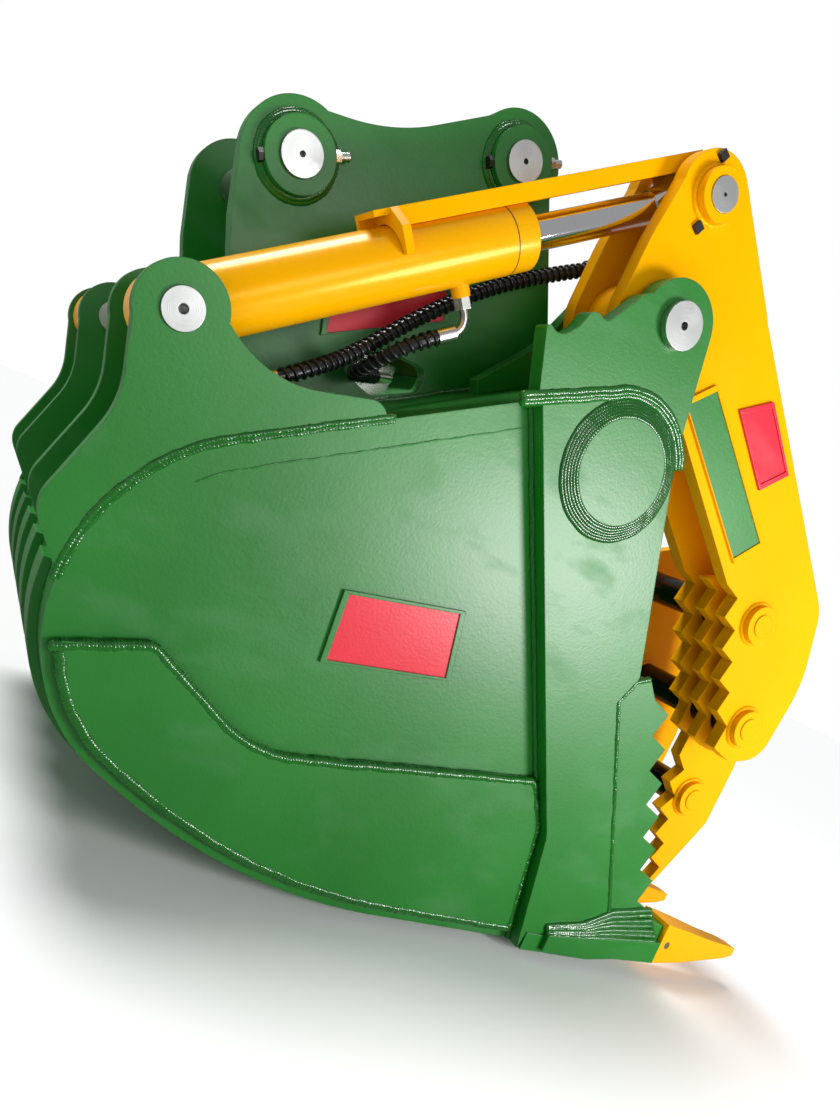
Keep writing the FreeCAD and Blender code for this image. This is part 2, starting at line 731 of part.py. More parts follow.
# channel over the rod, standing on the rod eye, with a saddle that rides along the barrel; the
# outboard lip of the channel starts at the saddle, the other one behind it
def rod_guard():
    half = GUARD_W / 2
    length = CYL_LENGTH + GUARD_PAST - GUARD_BACK
    low = GUARD_TOP - GUARD_DEEP
    bar = Part.makeBox(length, GUARD_W, GUARD_DEEP, Vector(GUARD_BACK, -half, low))
    hollow_w = GUARD_W - 2 * GUARD_T
    hollow_h = GUARD_DEEP - GUARD_T
    rear = Vector(GUARD_BACK, GUARD_T - half, low)
    bar = bar.cut(Part.makeBox(CYL_LENGTH - ROD_EYE_R - GUARD_BACK, hollow_w, hollow_h, rear))
    bar = bar.cut(Part.makeBox(SADDLE_AT - GUARD_BACK, GUARD_T, hollow_h,
                               Vector(GUARD_BACK, -half, low)))
    bar = bar.cut(disc(CYL_LENGTH, 0, ROD_EYE_R + SEAT, -half, half))
    wide = SADDLE_W / 2
    section = [(-half, GUARD_TOP), (half, GUARD_TOP), (wide, low), (wide, SADDLE_LOW),
               (-wide, SADDLE_LOW), (-wide, low)]
    loop = [Vector(SADDLE_AT, y, z) for y, z in section]
    saddle = Part.Face(Part.makePolygon(loop + loop[:1])).extrude(Vector(SADDLE_L, 0, 0))
    saddle = saddle.cut(along(BARREL_R + SADDLE_GAP, 0, BARREL_END))
    return bar.fuse(saddle).removeSplitter()


# hexagon, steel elbow and ferrule under each port; the elbow of the rod end port turns back
# along the barrel and that of the base end port turns forward
def port_fitting(at, way):
    top = -BARREL_R - PORT_L
    nut = hex_head(PORT_HEX, PORT_HEX_L, Vector(at, 0, top), Vector(0, 0, -1))
    low = top - PORT_HEX_L
    leg = Vector(at, 0, low - ELBOW_LEG)
    end = leg + Vector(way * ELBOW_BEND, 0, -ELBOW_BEND)
    slant = ELBOW_BEND * (1 - math.sqrt(0.5))
    middle = leg + Vector(way * slant, 0, slant - ELBOW_BEND)
    path = Part.Wire([Part.LineSegment(Vector(at, 0, low), leg).toShape(),
                      Part.Arc(leg, middle, end).toShape()])
    start = Part.Wire(Part.makeCircle(ELBOW_R, Vector(at, 0, low), Vector(0, 0, -1)))
    elbow = path.makePipeShell([start], True, True)
    ferrule = Part.makeCylinder(FERRULE_R, FERRULE_L, end, Vector(way, 0, 0))
    return nut.fuse(elbow).fuse(ferrule)


# first two points of a hose: the end of the ferrule, and one straight on from it
def hose_start(at, way):
    drop = BARREL_R + PORT_L + PORT_HEX_L + ELBOW_LEG + ELBOW_BEND
    end = Vector(at + way * (ELBOW_BEND + FERRULE_L), 0, -drop)
    points = [placed_point(end), placed_point(end + Vector(way * HOSE_LEAD, 0, 0))]
    return [(point.x, point.y, point.z) for point in points]


# round tube along straight runs joined by tangent arcs, through points chosen by hand
def hose(name, points):
    points = [Vector(*point) for point in points]
    edges = []
    radii = []
    here = points[0]
    for before, corner, after in zip(points, points[1:], points[2:]):
        back = before - corner
        onward = after - corner
        half = back.getAngle(onward) / 2
        shorter = min(back.Length, onward.Length)
        radius = 0.45 * shorter * math.tan(half)
        reach = 0.45 * shorter
        back.normalize()
        onward.normalize()
        inward = (back + onward).normalize()
        middle = corner + inward * (radius / math.sin(half) - radius)
        edges.append(Part.LineSegment(here, corner + back * reach).toShape())
        edges.append(Part.Arc(corner + back * reach, middle, corner + onward * reach).toShape())
        here = corner + onward * reach
        radii.append(round(radius, 1))
    edges.append(Part.LineSegment(here, points[-1]).toShape())
    path = Part.Wire(edges)
    heading = points[1] - points[0]
    start = Part.Wire(Part.makeCircle(HOSE_R, points[0], heading))
    tube = path.makePipeShell([start], True, True)
    share = tube.Volume / (math.pi * HOSE_R ** 2 * path.Length)
    print(name, "radii", radii, "length", round(path.Length, 1), "volume share", round(share, 4))
    return tube


# from the rod end port back under the barrel and through the slot of the hanger plate
def rod_hose_points():
    return hose_start(PORT_AT[0], -1) + [
        (-350, -268, 754), (-356, -224, 733), (-330, -168, 741),
        (MANIFOLD_X - 12, -MANIFOLD_HALF - NIPPLE_L - 16, MANIFOLD_Z - 6),
    ]


# from the base end port forward below the barrel to a coupler on the inner pivot lug
def base_hose_points():
    return hose_start(PORT_AT[1], 1) + [
        (-384, -262, 746), (-292, -236, 862), (-176, -216, 975), (-66, -214, 1050),
    ]


def manifold():
    low, high = MANIFOLD_X - MANIFOLD_W / 2, MANIFOLD_X + MANIFOLD_W / 2
    top = roof_z(MANIFOLD_X) + MANIFOLD_H
    corners = [(low, roof_z(low) + SEAT), (high, roof_z(high) + SEAT), (high, top), (low, top)]
    block = plate(corners, -MANIFOLD_HALF, MANIFOLD_HALF)
    before, end = [Vector(*point) for point in rod_hose_points()[-2:]]
    way = (end - before).normalize()
    reach = (-MANIFOLD_HALF - end.y) / way.y + NIPPLE_L
    nipple = Part.makeCylinder(NIPPLE_R, reach, end, way)
    return block.fuse(nipple).fuse(mirrored(nipple)).removeSplitter()


# quick coupler at the end of the base hose, held by a clip on the inner pivot lug
def coupler():
    before, start = [Vector(*point) for point in base_hose_points()[-2:]]
    way = (start - before).normalize()
    body = Part.makeCylinder(COUPLER_R, COUPLER_L, start, way)
    collar = Part.makeCylinder(COUPLER_R + 4, 18, start + way * 14, way)
    nose = Part.makeCylinder(COUPLER_R - 4, 16, start + way * COUPLER_L, way)
    middle = start + way * (COUPLER_L / 2)
    left, right = middle.x - CLIP_W / 2, middle.x + CLIP_W / 2
    low, high = -INNER_LUG_NEAR + 2, -INNER_LUG_NEAR + INNER_LUG_T - 2
    clip = plate([(left, PIVOT_Z), (right, PIVOT_Z), (right, middle.z), (left, middle.z)], low, high)
    clip = clip.cut(disc(PIVOT_X, PIVOT_Z, INNER_LUG_R + SEAT, low, high))
    clip = clip.cut(plate([(left, 0), (right, 0), (right, PIVOT_Z + CLIP_UP),
                           (left, PIVOT_Z + CLIP_UP)], low, high))
    return body.fuse(collar).fuse(nose).fuse(clip).removeSplitter()


save("wrapper_shell", wrapper_shell())
save_pair("side_plate", side_plate())
save_pair("side_wear_plate", side_wear_plate())
CHEEK, LOBE = cheek_and_lobe()
save_pair("cheek_plate", CHEEK)
save_pair("pivot_lobe", LOBE)
save_pair("side_cutter", side_cutter())
save_pair("inner_pivot_lug", inner_pivot_lug())
save("torque_tube", *torque_tube())
save("cutting_edge", cutting_edge(0))
save("tooth_adapters", *[adapter(y) for y in tooth_places()])
save("bucket_teeth", *[tooth(y) for y in tooth_places()])
save("tooth_pins", *[tooth_pin(y) for y in tooth_places()])
save("heel_wear_strips", *heel_strips())
save_pair("cylinder_ear_outer", cylinder_ear(SIDE_OUT, EAR_T, 0))
save_pair("cylinder_ear_inner", cylinder_ear(EAR_IN_OUT, EAR_T, CYL_Y - BASE_EYE_W / 2 - SIDE_GAP))
save_pair("hanger_plate", hanger_plate())
save("hitch_pin_rear", hitch_pin(HITCH_REAR_X, HITCH_REAR_Z))
save("hitch_pin_front", hitch_pin(HITCH_FRONT_X, HITCH_FRONT_Z))
save("hitch_bosses", *hitch_bosses())
save("hanger_braces", *hanger_braces())
save_both("cylinder_base_pins", base_pin())
save_pair("claw_pivot_pin", pivot_pin())

save_pair("claw_arm", claw_arm())
save_pair("claw_tine", claw_tine(-TINE_OUT, -TINE_OUT + ARM_T))
MIDDLE = middle_tine(-MIDDLE_TINE_Y - ARM_T / 2, -MIDDLE_TINE_Y + ARM_T / 2)
save("claw_tines_middle", MIDDLE, mirrored(MIDDLE))
save_both("claw_saw_plates", saw_plate())
save("claw_cross_tubes", *cross_tubes())
save("cross_tube_bosses", *cross_bosses())
save_pair("claw_hub", hub())
save_pair("rod_pin", rod_pin())

save_pair("cylinder_barrel", placed(barrel()))
save_pair("cylinder_gland", placed(gland()))
save_pair("cylinder_piston", placed(piston()))
save_pair("cylinder_rod", placed(rod()))
save_pair("rod_guard", placed(rod_guard()))
save_pair("port_fittings", Part.makeCompound([placed(port_fitting(PORT_AT[0], -1)),
                                              placed(port_fitting(PORT_AT[1], 1))]))
save_both("rod_hoses", hose("rod hose", rod_hose_points()))
save_both("base_hoses", hose("base hose", base_hose_points()))
save("hose_manifold", manifold())
save_both("hose_couplers", coupler())
print("cylinder length", round(CYL_LENGTH, 2), "tilt", round(CYL_TILT, 3))
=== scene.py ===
import bpy
import json
import math
import random
from mathutils import Matrix, Vector


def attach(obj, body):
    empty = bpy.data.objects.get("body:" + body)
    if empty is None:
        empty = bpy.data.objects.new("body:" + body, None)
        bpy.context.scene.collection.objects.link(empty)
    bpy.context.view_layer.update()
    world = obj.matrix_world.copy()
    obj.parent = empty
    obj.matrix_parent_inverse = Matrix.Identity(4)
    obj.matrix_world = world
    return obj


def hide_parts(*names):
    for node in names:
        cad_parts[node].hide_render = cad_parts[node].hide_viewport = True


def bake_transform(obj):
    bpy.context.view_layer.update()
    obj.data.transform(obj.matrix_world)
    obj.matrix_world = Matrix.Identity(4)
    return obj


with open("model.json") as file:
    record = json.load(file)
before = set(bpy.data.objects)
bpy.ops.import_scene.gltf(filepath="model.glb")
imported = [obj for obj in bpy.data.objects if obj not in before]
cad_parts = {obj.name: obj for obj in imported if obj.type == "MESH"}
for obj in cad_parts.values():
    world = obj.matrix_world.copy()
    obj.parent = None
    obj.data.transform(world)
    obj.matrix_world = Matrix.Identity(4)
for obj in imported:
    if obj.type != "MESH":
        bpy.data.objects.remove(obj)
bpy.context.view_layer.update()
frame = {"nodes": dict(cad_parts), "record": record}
print("frame loaded with", len(frame["nodes"]), "nodes")

sides = ((-1, "near"), (1, "far"))


# any tree of nodes; node() is the one way a node is made: its type, its settings, its sockets
class Nodes:
    def __init__(self, tree):
        self.tree = tree
        tree.nodes.clear()

    def node(self, kind, settings=None, sockets=None):
        made = self.tree.nodes.new(kind)
        for name, value in (settings or {}).items():
            setattr(made, name, value)
        for name, value in (sockets or {}).items():
            self.put(made.inputs[name], value)
        return made

    def put(self, socket, value):
        if isinstance(value, Reading):
            value = value.socket
        if isinstance(value, bpy.types.NodeSocket):
            self.tree.links.new(value, socket)
        else:
            socket.default_value = value


# a number read from a node, which can be added, multiplied and so on
class Reading:
    def __init__(self, owner, socket):
        self.owner = owner
        self.socket = socket

    def step(self, operation, first, second):
        made = self.owner.node("ShaderNodeMath", {"operation": operation}, {0: first, 1: second})
        return Reading(self.owner, made.outputs[0])

    def __add__(self, other):
        return self.step("ADD", self, other)

    def __radd__(self, other):
        return self.step("ADD", other, self)

    def __sub__(self, other):
        return self.step("SUBTRACT", self, other)

    def __rsub__(self, other):
        return self.step("SUBTRACT", other, self)

    def __mul__(self, other):
        return self.step("MULTIPLY", self, other)

    def __rmul__(self, other):
        return self.step("MULTIPLY", other, self)

    def __truediv__(self, other):
        return self.step("DIVIDE", self, other)

    def __rtruediv__(self, other):
        return self.step("DIVIDE", other, self)


class Finish(Nodes):
    def __init__(self, name):
        self.material = bpy.data.materials.new(name)
        self.material.use_nodes = True
        super().__init__(self.material.node_tree)
        self.shader = self.node("ShaderNodeBsdfPrincipled")
        self.output = self.node("ShaderNodeOutputMaterial", {}, {"Surface": self.shader.outputs[0]})
        self.place = self.node("ShaderNodeTexCoord").outputs["Object"]

    def noise(self, scale, detail=3.0, stretch=(1, 1, 1)):
        moved = self.node("ShaderNodeMapping", {}, {"Vector": self.place, "Scale": stretch})
        made = self.node("ShaderNodeTexNoise", {}, {
            "Vector": moved.outputs[0], "Scale": scale, "Detail": detail, "Roughness": 0.55})
        return Reading(self, made.outputs[0])

    # value from low to high becomes 0 to 1
    def between(self, value, low, high):
        made = self.node("ShaderNodeMapRange", {"clamp": True}, {
            "Value": value, "From Min": low, "From Max": high})
        return Reading(self, made.outputs[0])

    def blendColour(self, factor, first, second):
        made = self.node("ShaderNodeMix", {"data_type": "RGBA"}, {0: factor})
        for index, colour in ((6, first), (7, second)):
            self.put(made.inputs[index], (*colour, 1) if isinstance(colour, tuple) else colour)
        return made.outputs[2]

    # the normal with plate edges rounded off
    def softened(self, radius):
        return self.node("ShaderNodeBevel", {"samples": 4}, {"Radius": radius}).outputs[0]

    # 1 along the rounded edges, 0 on the flats
    def edgeMask(self, softNormal, low, high):
        flat = self.node("ShaderNodeNewGeometry")
        dot = self.node("ShaderNodeVectorMath", {"operation": "DOT_PRODUCT"}, {
            0: softNormal, 1: flat.outputs["Normal"]})
        return self.between(1 - Reading(self, dot.outputs["Value"]), low, high)

    def bump(self, height, strength, distance, normal=None):
        sockets = {"Height": height, "Strength": strength, "Distance": distance}
        if normal:
            sockets["Normal"] = normal
        made = self.node("ShaderNodeBump", {}, sockets)
        self.put(self.shader.inputs["Normal"], made.outputs[0])

    def feed(self, **sockets):
        for name, value in sockets.items():
            self.put(self.shader.inputs[name.replace("_", " ")], value)


# what every enamel shares: how fine each layer is, where it begins and how much it roughens
spray = {"patch": 2.6, "patchRange": (0.3, 0.7), "patchRough": 0.1,
         "smear": 7, "smearStretch": (1.0, 1.0, 2.2), "smearRange": (0.52, 0.78),
         "smearRough": 0.14, "speck": 190, "speckRange": (0.7, 0.77), "wornAndLitEdge": 38,
         "wornAndLitEdgeRange": (0.38, 0.6), "edgeRange": (0.02, 0.2), "wave": 30, "depth": 0.0012}


# sprayed enamel on steel plate: orange peel, hand smears, specks of dust, and pale edges that are
# partly worn paint and partly a painted highlight where edges catch light
def enamel(name, look):
    made = Finish(name)
    normal = made.softened(look["edgeRadius"])
    patch = made.noise(spray["patch"], 4)
    smear = made.noise(spray["smear"], 6, spray["smearStretch"])
    smear = made.between(smear, *spray["smearRange"])
    speck = made.between(made.noise(spray["speck"], 2), *spray["speckRange"])
    # the edge mask picks the pale edges: worn paint, and also a painted highlight where edges catch
    # light
    wornAndLitEdge = made.edgeMask(normal, *spray["edgeRange"])
    wornAndLitEdge = wornAndLitEdge * made.between(made.noise(spray["wornAndLitEdge"], 5), *spray["wornAndLitEdgeRange"])
    patches = made.between(patch, *spray["patchRange"])
    colour = made.blendColour(patches, look["deep"], look["colour"])
    colour = made.blendColour(smear * look["dusty"], colour, look["dust"])
    colour = made.blendColour(speck * look["specks"], colour, look["dust"])
    colour = made.blendColour(wornAndLitEdge * look["wear"], colour, look["wornAndLitEdgeColour"])
    rough = look["roughness"] + smear * spray["smearRough"] + patch * spray["patchRough"]
    made.feed(Base_Color=colour, Roughness=rough, Specular_IOR_Level=look["shine"],
              Specular_Tint=(*look["tint"], 1))
    peel = made.noise(look["peelScale"], 2) + made.noise(spray["wave"], 3) * look["waves"]
    made.bump(peel, look["peel"], spray["depth"], normal)
    return made.material


# the pale edge colour in each look is partly wear and partly a painted edge highlight
greenLook = {
    "colour": (0.004, 0.2, 0.009), "deep": (0.002, 0.15, 0.005), "dust": (0.08, 0.25, 0.12),
    "wornAndLitEdgeColour": (0.2, 0.34, 0.2), "dusty": 0.14, "specks": 0.1, "wear": 0.8, "roughness": 0.33,
    "shine": 0.65, "tint": (1, 1, 1), "peelScale": 240, "peel": 0.14, "waves": 0.35,
    "edgeRadius": 0.0022}
yellowLook = {
    "colour": (0.93, 0.43, 0.0), "deep": (0.88, 0.385, 0.0), "dust": (0.85, 0.5, 0.02),
    "wornAndLitEdgeColour": (0.98, 0.62, 0.03), "dusty": 0.12, "specks": 0.08, "wear": 0.5,
    "roughness": 0.34, "shine": 0.16, "tint": (1, 0.6, 0.0), "peelScale": 210, "peel": 0.16,
    "waves": 0.4, "edgeRadius": 0.002}
barrelLook = {**yellowLook, "roughness": 0.17, "peel": 0.07, "shine": 0.45, "tint": (1, 0.75, 0.25)}
# near-black for the claw's cross tubes between the plates: painted shade, where the tubes lie in
# the plates' shadow
tubeShadeBlackLook = {
    **greenLook, "colour": (0.006, 0.006, 0.006), "deep": (0.003, 0.003, 0.003),
    "dust": (0.03, 0.03, 0.03), "wornAndLitEdgeColour": (0.03, 0.03, 0.03), "roughness": 0.1, "shine": 0.4}
redLook = {
    **greenLook, "colour": (0.74, 0.02, 0.045), "deep": (0.66, 0.014, 0.032),
    "dust": (0.6, 0.1, 0.12), "wornAndLitEdgeColour": (0.7, 0.2, 0.2), "roughness": 0.26, "shine": 0.35}
weldLook = {
    **greenLook, "colour": (0.01, 0.14, 0.012), "deep": (0.006, 0.1, 0.008), "roughness": 0.03,
    "dusty": 0.0, "specks": 0.0, "wear": 0.0, "waves": 2.4, "peel": 0.3, "edgeRadius": 0.0008}
# a darker copy of the weld green for the cap's cone: painted shade
capWeldShadedLook = {
    **weldLook, "colour": (0.004, 0.1, 0.006), "deep": (0.002, 0.07, 0.004), "roughness": 0.1,
    "waves": 0.8, "peel": 0.1}
clawWeldLook = {
    **yellowLook, "roughness": 0.1, "shine": 0.7, "dusty": 0.0, "specks": 0.0, "wear": 0.0,
    "waves": 2.0, "edgeRadius": 0.0008}
greenPaint = enamel("greenPaint", greenLook)
yellowPaint = enamel("yellowPaint", yellowLook)
barrelPaint = enamel("barrelPaint", barrelLook)
blackPaint = enamel("blackPaint", tubeShadeBlackLook)
redPaint = enamel("redPaint", redLook)
weldGreen = enamel("weldGreen", weldLook)
weldDeep = enamel("weldDeep", capWeldShadedLook)
weldYellow = enamel("weldYellow", clawWeldLook)

lathe = {"rings": 900, "dark": (0.5, 0.51, 0.5), "bright": (0.74, 0.75, 0.74),
         "stain": (0.4, 0.385, 0.35), "stainScale": 30, "stainRange": (0.5, 0.85), "stained": 0.3,
         "roughness": 0.24, "ringRough": 0.2, "stainRough": 0.1, "cut": 0.25, "depth": 0.0004,
         "edgeRadius": 0.001}


# steel faced on a lathe: fine rings about its own axis, at x and z in metres
def turnedSteel(name, x, z):
    made = Finish(name)
    flat = made.node("ShaderNodeVectorMath", {"operation": "MULTIPLY"}, {
        0: made.place, 1: (1, 0, 1)})
    reach = made.node("ShaderNodeVectorMath", {"operation": "DISTANCE"}, {
        0: flat.outputs[0], 1: (x, 0, z)})
    ringNoise = made.node("ShaderNodeTexNoise", {"noise_dimensions": "1D"}, {
        "W": Reading(made, reach.outputs["Value"]) * lathe["rings"], "Scale": 1.0, "Detail": 4.0})
    rings = Reading(made, ringNoise.outputs[0])
    stain = made.between(made.noise(lathe["stainScale"], 4), *lathe["stainRange"])
    colour = made.blendColour(rings, lathe["dark"], lathe["bright"])
    colour = made.blendColour(stain * lathe["stained"], colour, lathe["stain"])
    rough = lathe["roughness"] + rings * lathe["ringRough"] + stain * lathe["stainRough"]
    made.feed(Base_Color=colour, Metallic=1.0, Roughness=rough)
    made.bump(rings, lathe["cut"], lathe["depth"], made.softened(lathe["edgeRadius"]))
    return made.material


plated = {"marks": 120, "stretch": (1, 6, 1), "dark": 0.6, "rough": 0.12, "scored": 0.08,
          "depth": 0.0004, "edgeRadius": 0.0006}


# plated or ground steel with fine marks
def plainMetal(name, colour, roughness, scratch):
    made = Finish(name)
    marks = made.noise(plated["marks"], 4, plated["stretch"])
    dark = tuple(plated["dark"] * part for part in colour)
    shade = made.blendColour(marks * scratch, colour, dark)
    rough = roughness + marks * plated["rough"] * scratch
    made.feed(Base_Color=shade, Metallic=1.0, Roughness=rough)
    made.bump(marks, plated["scored"] * scratch, plated["depth"],
              made.softened(plated["edgeRadius"]))
    return made.material


dull = {"dust": 14, "dustRange": (0.5, 0.8), "dusty": 0.3, "paler": 0.02, "rough": 0.2,
        "grain": 420, "depth": 0.0004}


# dull black rubber and oxide, a little paler where dust lies
def moulded(name, colour, roughness, grain):
    made = Finish(name)
    dust = made.between(made.noise(dull["dust"], 5), *dull["dustRange"])
    pale = tuple(part + dull["paler"] for part in colour)
    shade = made.blendColour(dust * dull["dusty"], colour, pale)
    made.feed(Base_Color=shade, Roughness=roughness + dust * dull["rough"])
    made.bump(made.noise(dull["grain"], 2), grain, dull["depth"])
    return made.material


zincSteel = plainMetal("zincSteel", (0.78, 0.78, 0.74), 0.22, 0.8)
rodChrome = plainMetal("rodChrome", (0.86, 0.86, 0.87), 0.05, 0.15)
hoseBlack = moulded("hoseBlack", (0.008, 0.008, 0.009), 0.26, 0.12)
# black of the bolt heads, also used for the painted shadow line at the barrel's seam
boltBlack = moulded("boltBlack", (0.01, 0.01, 0.01), 0.42, 0.2)
sealBlack = moulded("sealBlack", (0.008, 0.008, 0.008), 0.5, 0.1)
print("finishes made")


# pins by the start of their nodes' names, with their axes at x and z
pinAxes = {"hitch_pin_rear": (-0.535, 0.960), "hitch_pin_front": (-0.228, 1.138),
           "cylinder_base_pins": (-0.629, 0.682), "claw_pivot_pin": (0.0, 0.987),
           "rod_pin": (-0.010, 1.186)}
hitchPins = ("hitch_pin_rear", "hitch_pin_front")
slotFinish = {"paint_green": greenPaint, "paint_yellow": yellowPaint, "paint_black": blackPaint,
              "steel": zincSteel, "rod_chrome": rodChrome, "hose_rubber": hoseBlack}
ownFinish = {start: turnedSteel(start + "Steel", *axis) for start, axis in pinAxes.items()}
ownFinish.update({"cylinder_barrel": barrelPaint, "cylinder_gland": barrelPaint})
for entry in frame["record"]["subparts"]:
    starts = [start for start in ownFinish if entry["node"].startswith(start)]
    slots = frame["nodes"][entry["node"]].data.materials
    slots.clear()
    slots.append(ownFinish[starts[0]] if starts else slotFinish[entry["material_slot"]])
print("nodes painted")


def meshPiece(name, part, material, body):
    points, faces = part
    mesh = bpy.data.meshes.new(name)
    mesh.from_pydata([tuple(point) for point in points], [], faces)
    mesh.materials.append(material)
    mesh.update()
    made = bpy.data.objects.new(name, mesh)
    bpy.context.scene.collection.objects.link(made)
    if body:
        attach(made, body)
    return made


# closed slab over a flat outline (x, z), on a plate's face and standing out from it
def slab(outline, side, face, thick):
    low, high = sorted((side * face, side * (face + thick)))
    count = len(outline)
    area = sum(a[0] * b[1] - b[0] * a[1] for a, b in zip(outline, outline[1:] + outline[:1]))
    if area < 0:
        outline = outline[::-1]
    points = [(x, low, z) for x, z in outline] + [(x, high, z) for x, z in outline]
    faces = [tuple(range(count)), tuple(range(2 * count - 1, count - 1, -1))]
    for i in range(count):
        j = (i + 1) % count
        faces.append((i, i + count, j + count, j))
    return points, faces


def joined(parts):
    points, faces = [], []
    for partPoints, partFaces in parts:
        start = len(points)
        points += partPoints
        faces += [tuple(start + i for i in face) for face in partFaces]
    return points, faces


# straight prism from one point to another with a regular section
def prism(start, end, radius, count):
    start, end = Vector(start), Vector(end)
    ahead = (end - start).normalized()
    aside = ahead.orthogonal().normalized()
    up = ahead.cross(aside)
    points = []
    for base in (start, end):
        for i in range(count):
            t = 2 * math.pi * i / count
            points.append(tuple(base + (aside * math.cos(t) + up * math.sin(t)) * radius))
    faces = [tuple(range(count - 1, -1, -1)), tuple(range(count, 2 * count))]
    faces += [(i, (i + 1) % count, (i + 1) % count + count, i + count) for i in range(count)]
    return points, faces


def arc(x, z, radius, first, last, count):
    turns = [math.radians(first + (last - first) * i / (count - 1)) for i in range(count)]
    return [(x + radius * math.cos(t), z + radius * math.sin(t)) for t in turns]


def ring(x, z, radius, count=48):
    return arc(x, z, radius, 0, 360 - 360 / count, count)


cornerStep = 0.08  # radians between points on a rounded corner


# rounds the corners of an open path (x, z), each with its own radius
def rounded(path, radii):
    made = [path[0]]
    for before, here, after, radius in zip(path, path[1:], path[2:], radii):
        a = (Vector(before) - Vector(here)).normalized()
        b = (Vector(after) - Vector(here)).normalized()
        half = a.angle(b) / 2
        centre = Vector(here) + (a + b).normalized() * (radius / math.sin(half))
        start = Vector(here) + a * (radius / math.tan(half)) - centre
        end = Vector(here) + b * (radius / math.tan(half)) - centre
        steps = max(2, int(start.angle(end) / cornerStep) + 1)
        for i in range(steps + 1):
            way = start.lerp(end, i / steps).normalized()
            made.append(tuple(centre + way * radius))
    made.append(path[-1])
    return made


# an open path moved sideways, to its right as it runs
def shifted(path, by):
    made = []
    for i, here in enumerate(path):
        before, after = path[max(i - 1, 0)], path[min(i + 1, len(path) - 1)]
        way = (Vector(after) - Vector(before)).normalized()
        made.append((here[0] + way.y * by, here[1] - way.x * by))
    return made


def atY(path, y):
    return [(x, y, z) for x, z in path]


class Shaping(Nodes):
    def __init__(self, name, inputs):
        super().__init__(bpy.data.node_groups.new(name, "GeometryNodeTree"))
        sockets = self.tree.interface
        sockets.new_socket("Geometry", in_out="INPUT", socket_type="NodeSocketGeometry")
        for label, kind in inputs:
            sockets.new_socket(label, in_out="INPUT", socket_type="NodeSocket" + kind)
        sockets.new_socket("Geometry", in_out="OUTPUT", socket_type="NodeSocketGeometry")
        self.start = self.node("NodeGroupInput")
        self.end = self.node("NodeGroupOutput")

    def given(self, label):
        return Reading(self, self.start.outputs[label])

    def maths(self, operation, value):
        made = self.node("ShaderNodeMath", {"operation": operation}, {0: value})
        return Reading(self, made.outputs[0])

    def vector(self, operation, sockets):
        return self.node("ShaderNodeVectorMath", {"operation": operation}, sockets).outputs[0]

    # a round section swept along a curve
    def swept(self, curve, radius, count):
        section = self.node("GeometryNodeCurvePrimitiveCircle", {}, {
            "Resolution": count, "Radius": radius})
        return self.node("GeometryNodeCurveToMesh", {}, {
            "Curve": curve.outputs[0], "Profile Curve": section.outputs[0], "Fill Caps": True})

    def join(self, *pieces):
        both = self.node("GeometryNodeJoinGeometry")
        for piece in pieces:
            self.tree.links.new(piece.outputs[0], both.inputs[0])
        return both

    def finish(self, geometry):
        real = self.node("GeometryNodeRealizeInstances", {}, {"Geometry": geometry.outputs[0]})
        smooth = self.node("GeometryNodeSetShadeSmooth", {}, {"Geometry": real.outputs[0]})
        painted = self.node("GeometryNodeSetMaterial", {}, {
            "Geometry": smooth.outputs[0], "Material": self.given("Finish")})
        self.tree.links.new(painted.outputs[0], self.end.inputs[0])
        return self.tree


rippleShape = {"overlap": 1.3, "segments": 10, "rings": 8, "coreSides": 10, "drift": 45.0}


# weld bead: overlapping ripples along each run, standing a little above a round core
def weldTree():
    made = Shaping("weldBead", [("Width", "Float"), ("Ripple", "Float"), ("Relief", "Float"),
                                ("Wobble", "Float"), ("Seed", "Int"), ("Finish", "Material")])
    run = made.node("GeometryNodeResampleCurve", {"mode": "LENGTH"}, {
        "Curve": made.given("Geometry"), "Length": made.given("Ripple")})
    drift = made.node("ShaderNodeTexNoise", {"noise_dimensions": "3D"}, {
        "Scale": rippleShape["drift"], "Detail": 2.0})
    centred = made.vector("SUBTRACT", {0: drift.outputs["Color"], 1: (0.5, 0.5, 0.5)})
    run = made.node("GeometryNodeSetPosition", {}, {
        "Geometry": run.outputs[0],
        "Offset": made.vector("SCALE", {0: centred, "Scale": made.given("Wobble")})})
    heading = made.node("GeometryNodeInputTangent")
    turned = made.node("FunctionNodeAlignRotationToVector", {"axis": "X"}, {
        "Vector": heading.outputs[0]})
    uneven = made.node("FunctionNodeRandomValue", {"data_type": "FLOAT"}, {
        2: 0.0, 3: 1.0, "Seed": made.given("Seed")})
    half = made.given("Width") * 0.5
    across = half * (1 - made.given("Relief") * Reading(made, uneven.outputs[1]))
    size = made.node("ShaderNodeCombineXYZ", {}, {
        0: made.given("Ripple") * rippleShape["overlap"], 1: across, 2: across})
    scale = made.node("GeometryNodeMeshUVSphere", {}, {
        "Segments": rippleShape["segments"], "Rings": rippleShape["rings"], "Radius": 1.0})
    ripples = made.node("GeometryNodeInstanceOnPoints", {}, {
        "Points": run.outputs[0], "Instance": scale.outputs[0], "Rotation": turned.outputs[0],
        "Scale": size.outputs[0]})
    core = made.swept(run, half * (1 - made.given("Relief")), rippleShape["coreSides"])
    return made.finish(made.join(ripples, core))


# steps in one turn of the guard, and how much of its band stands above the hose
guardShape = {"steps": 14, "hoseSides": 20, "bandSides": 8, "above": 0.25}


